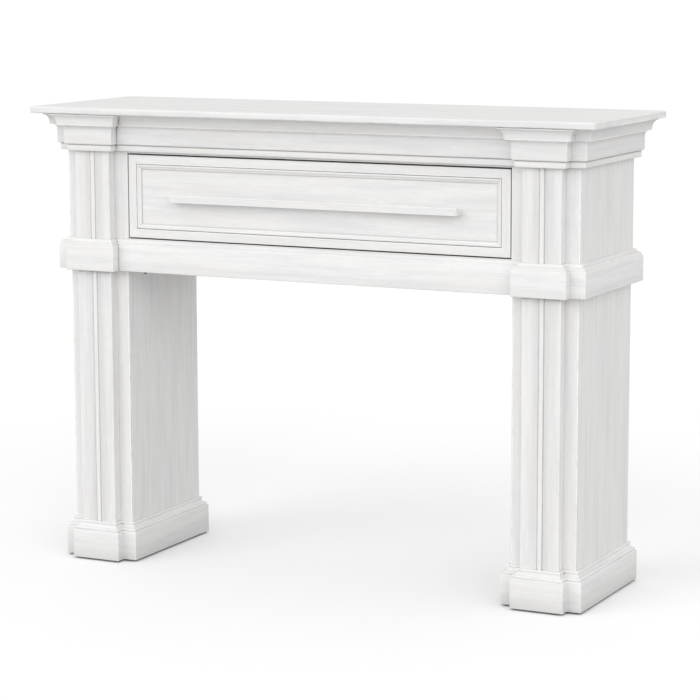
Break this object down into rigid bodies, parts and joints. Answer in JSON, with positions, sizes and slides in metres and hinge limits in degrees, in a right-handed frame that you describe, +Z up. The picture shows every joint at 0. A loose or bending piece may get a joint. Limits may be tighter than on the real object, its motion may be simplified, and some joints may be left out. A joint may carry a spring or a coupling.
{
  "type": "fireplace mantelpiece",
  "caption": "Free-standing white-washed wooden fireplace mantelpiece with box legs, pilasters, crown and belt mouldings, a shelf, and a wide drawer with a long bar pull.",
  "frame": {"origin": "on the floor, midway along the width and the depth of the mantel shelf", "axes": "+Z up, the front with the drawer faces -Y, +X to the viewer's right when looking at the front"},
  "size_m": [1.524, 0.491, 1.168],
  "materials": {
    "white_washed_wood": "limed and lightly brushed, matt, with warm grey settled in the grain and the recesses",
    "bare_drawer_wood": "clear matt",
    "grey_nylon": "moulded, dull"
  },
  "bodies": {
    "cabinet": {"base_moulding_left": "white_washed_wood", "base_moulding_right": "white_washed_wood", "belt_back": "white_washed_wood", "belt_centre": "white_washed_wood", "belt_left": "white_washed_wood", "belt_right": "white_washed_wood", "case_back": "white_washed_wood", "case_front_board_left": "white_washed_wood", "case_front_board_right": "white_washed_wood", "case_inner_side_left": "white_washed_wood", "case_inner_side_right": "white_washed_wood", "case_outer_side_left": "white_washed_wood", "case_outer_side_right": "white_washed_wood", "case_pilaster_left": "white_washed_wood", "case_pilaster_right": "white_washed_wood", "case_soffit": "white_washed_wood", "crown_cove_back": "white_washed_wood", "crown_cove_centre": "white_washed_wood", "crown_cove_left": "white_washed_wood", "crown_cove_right": "white_washed_wood", "crown_frieze_back": "white_washed_wood", "crown_frieze_centre": "white_washed_wood", "crown_frieze_left": "white_washed_wood", "crown_frieze_right": "white_washed_wood", "drawer_runner_left": "bare_drawer_wood", "drawer_runner_right": "bare_drawer_wood", "glide_back_left": "grey_nylon", "glide_back_right": "grey_nylon", "glide_front_left": "grey_nylon", "glide_front_right": "grey_nylon", "head_rail": "white_washed_wood", "leg_back_board_left": "white_washed_wood", "leg_back_board_right": "white_washed_wood", "leg_front_board_left": "white_washed_wood", "leg_front_board_right": "white_washed_wood", "leg_inner_board_left": "white_washed_wood", "leg_inner_board_right": "white_washed_wood", "leg_outer_board_left": "white_washed_wood", "leg_outer_board_right": "white_washed_wood", "leg_pilaster_left": "white_washed_wood", "leg_pilaster_right": "white_washed_wood", "lintel_rail": "white_washed_wood", "mantel_shelf": "white_washed_wood", "plinth_left": "white_washed_wood", "plinth_right": "white_washed_wood"},
    "drawer": {"drawer_back": "bare_drawer_wood", "drawer_bead_bottom": "white_washed_wood", "drawer_bead_left": "white_washed_wood", "drawer_bead_right": "white_washed_wood", "drawer_bead_top": "white_washed_wood", "drawer_bottom": "bare_drawer_wood", "drawer_frame_bottom": "white_washed_wood", "drawer_frame_left": "white_washed_wood", "drawer_frame_right": "white_washed_wood", "drawer_frame_top": "white_washed_wood", "drawer_panel": "white_washed_wood", "drawer_pull": "white_washed_wood", "drawer_side_left": "bare_drawer_wood", "drawer_side_right": "bare_drawer_wood"}
  },
  "joints": [
    {"name": "drawer_slide", "type": "slide", "parent": "cabinet", "child": "drawer", "axis": [0, -1, 0], "range_m": [0, 0.24]}
  ]
}
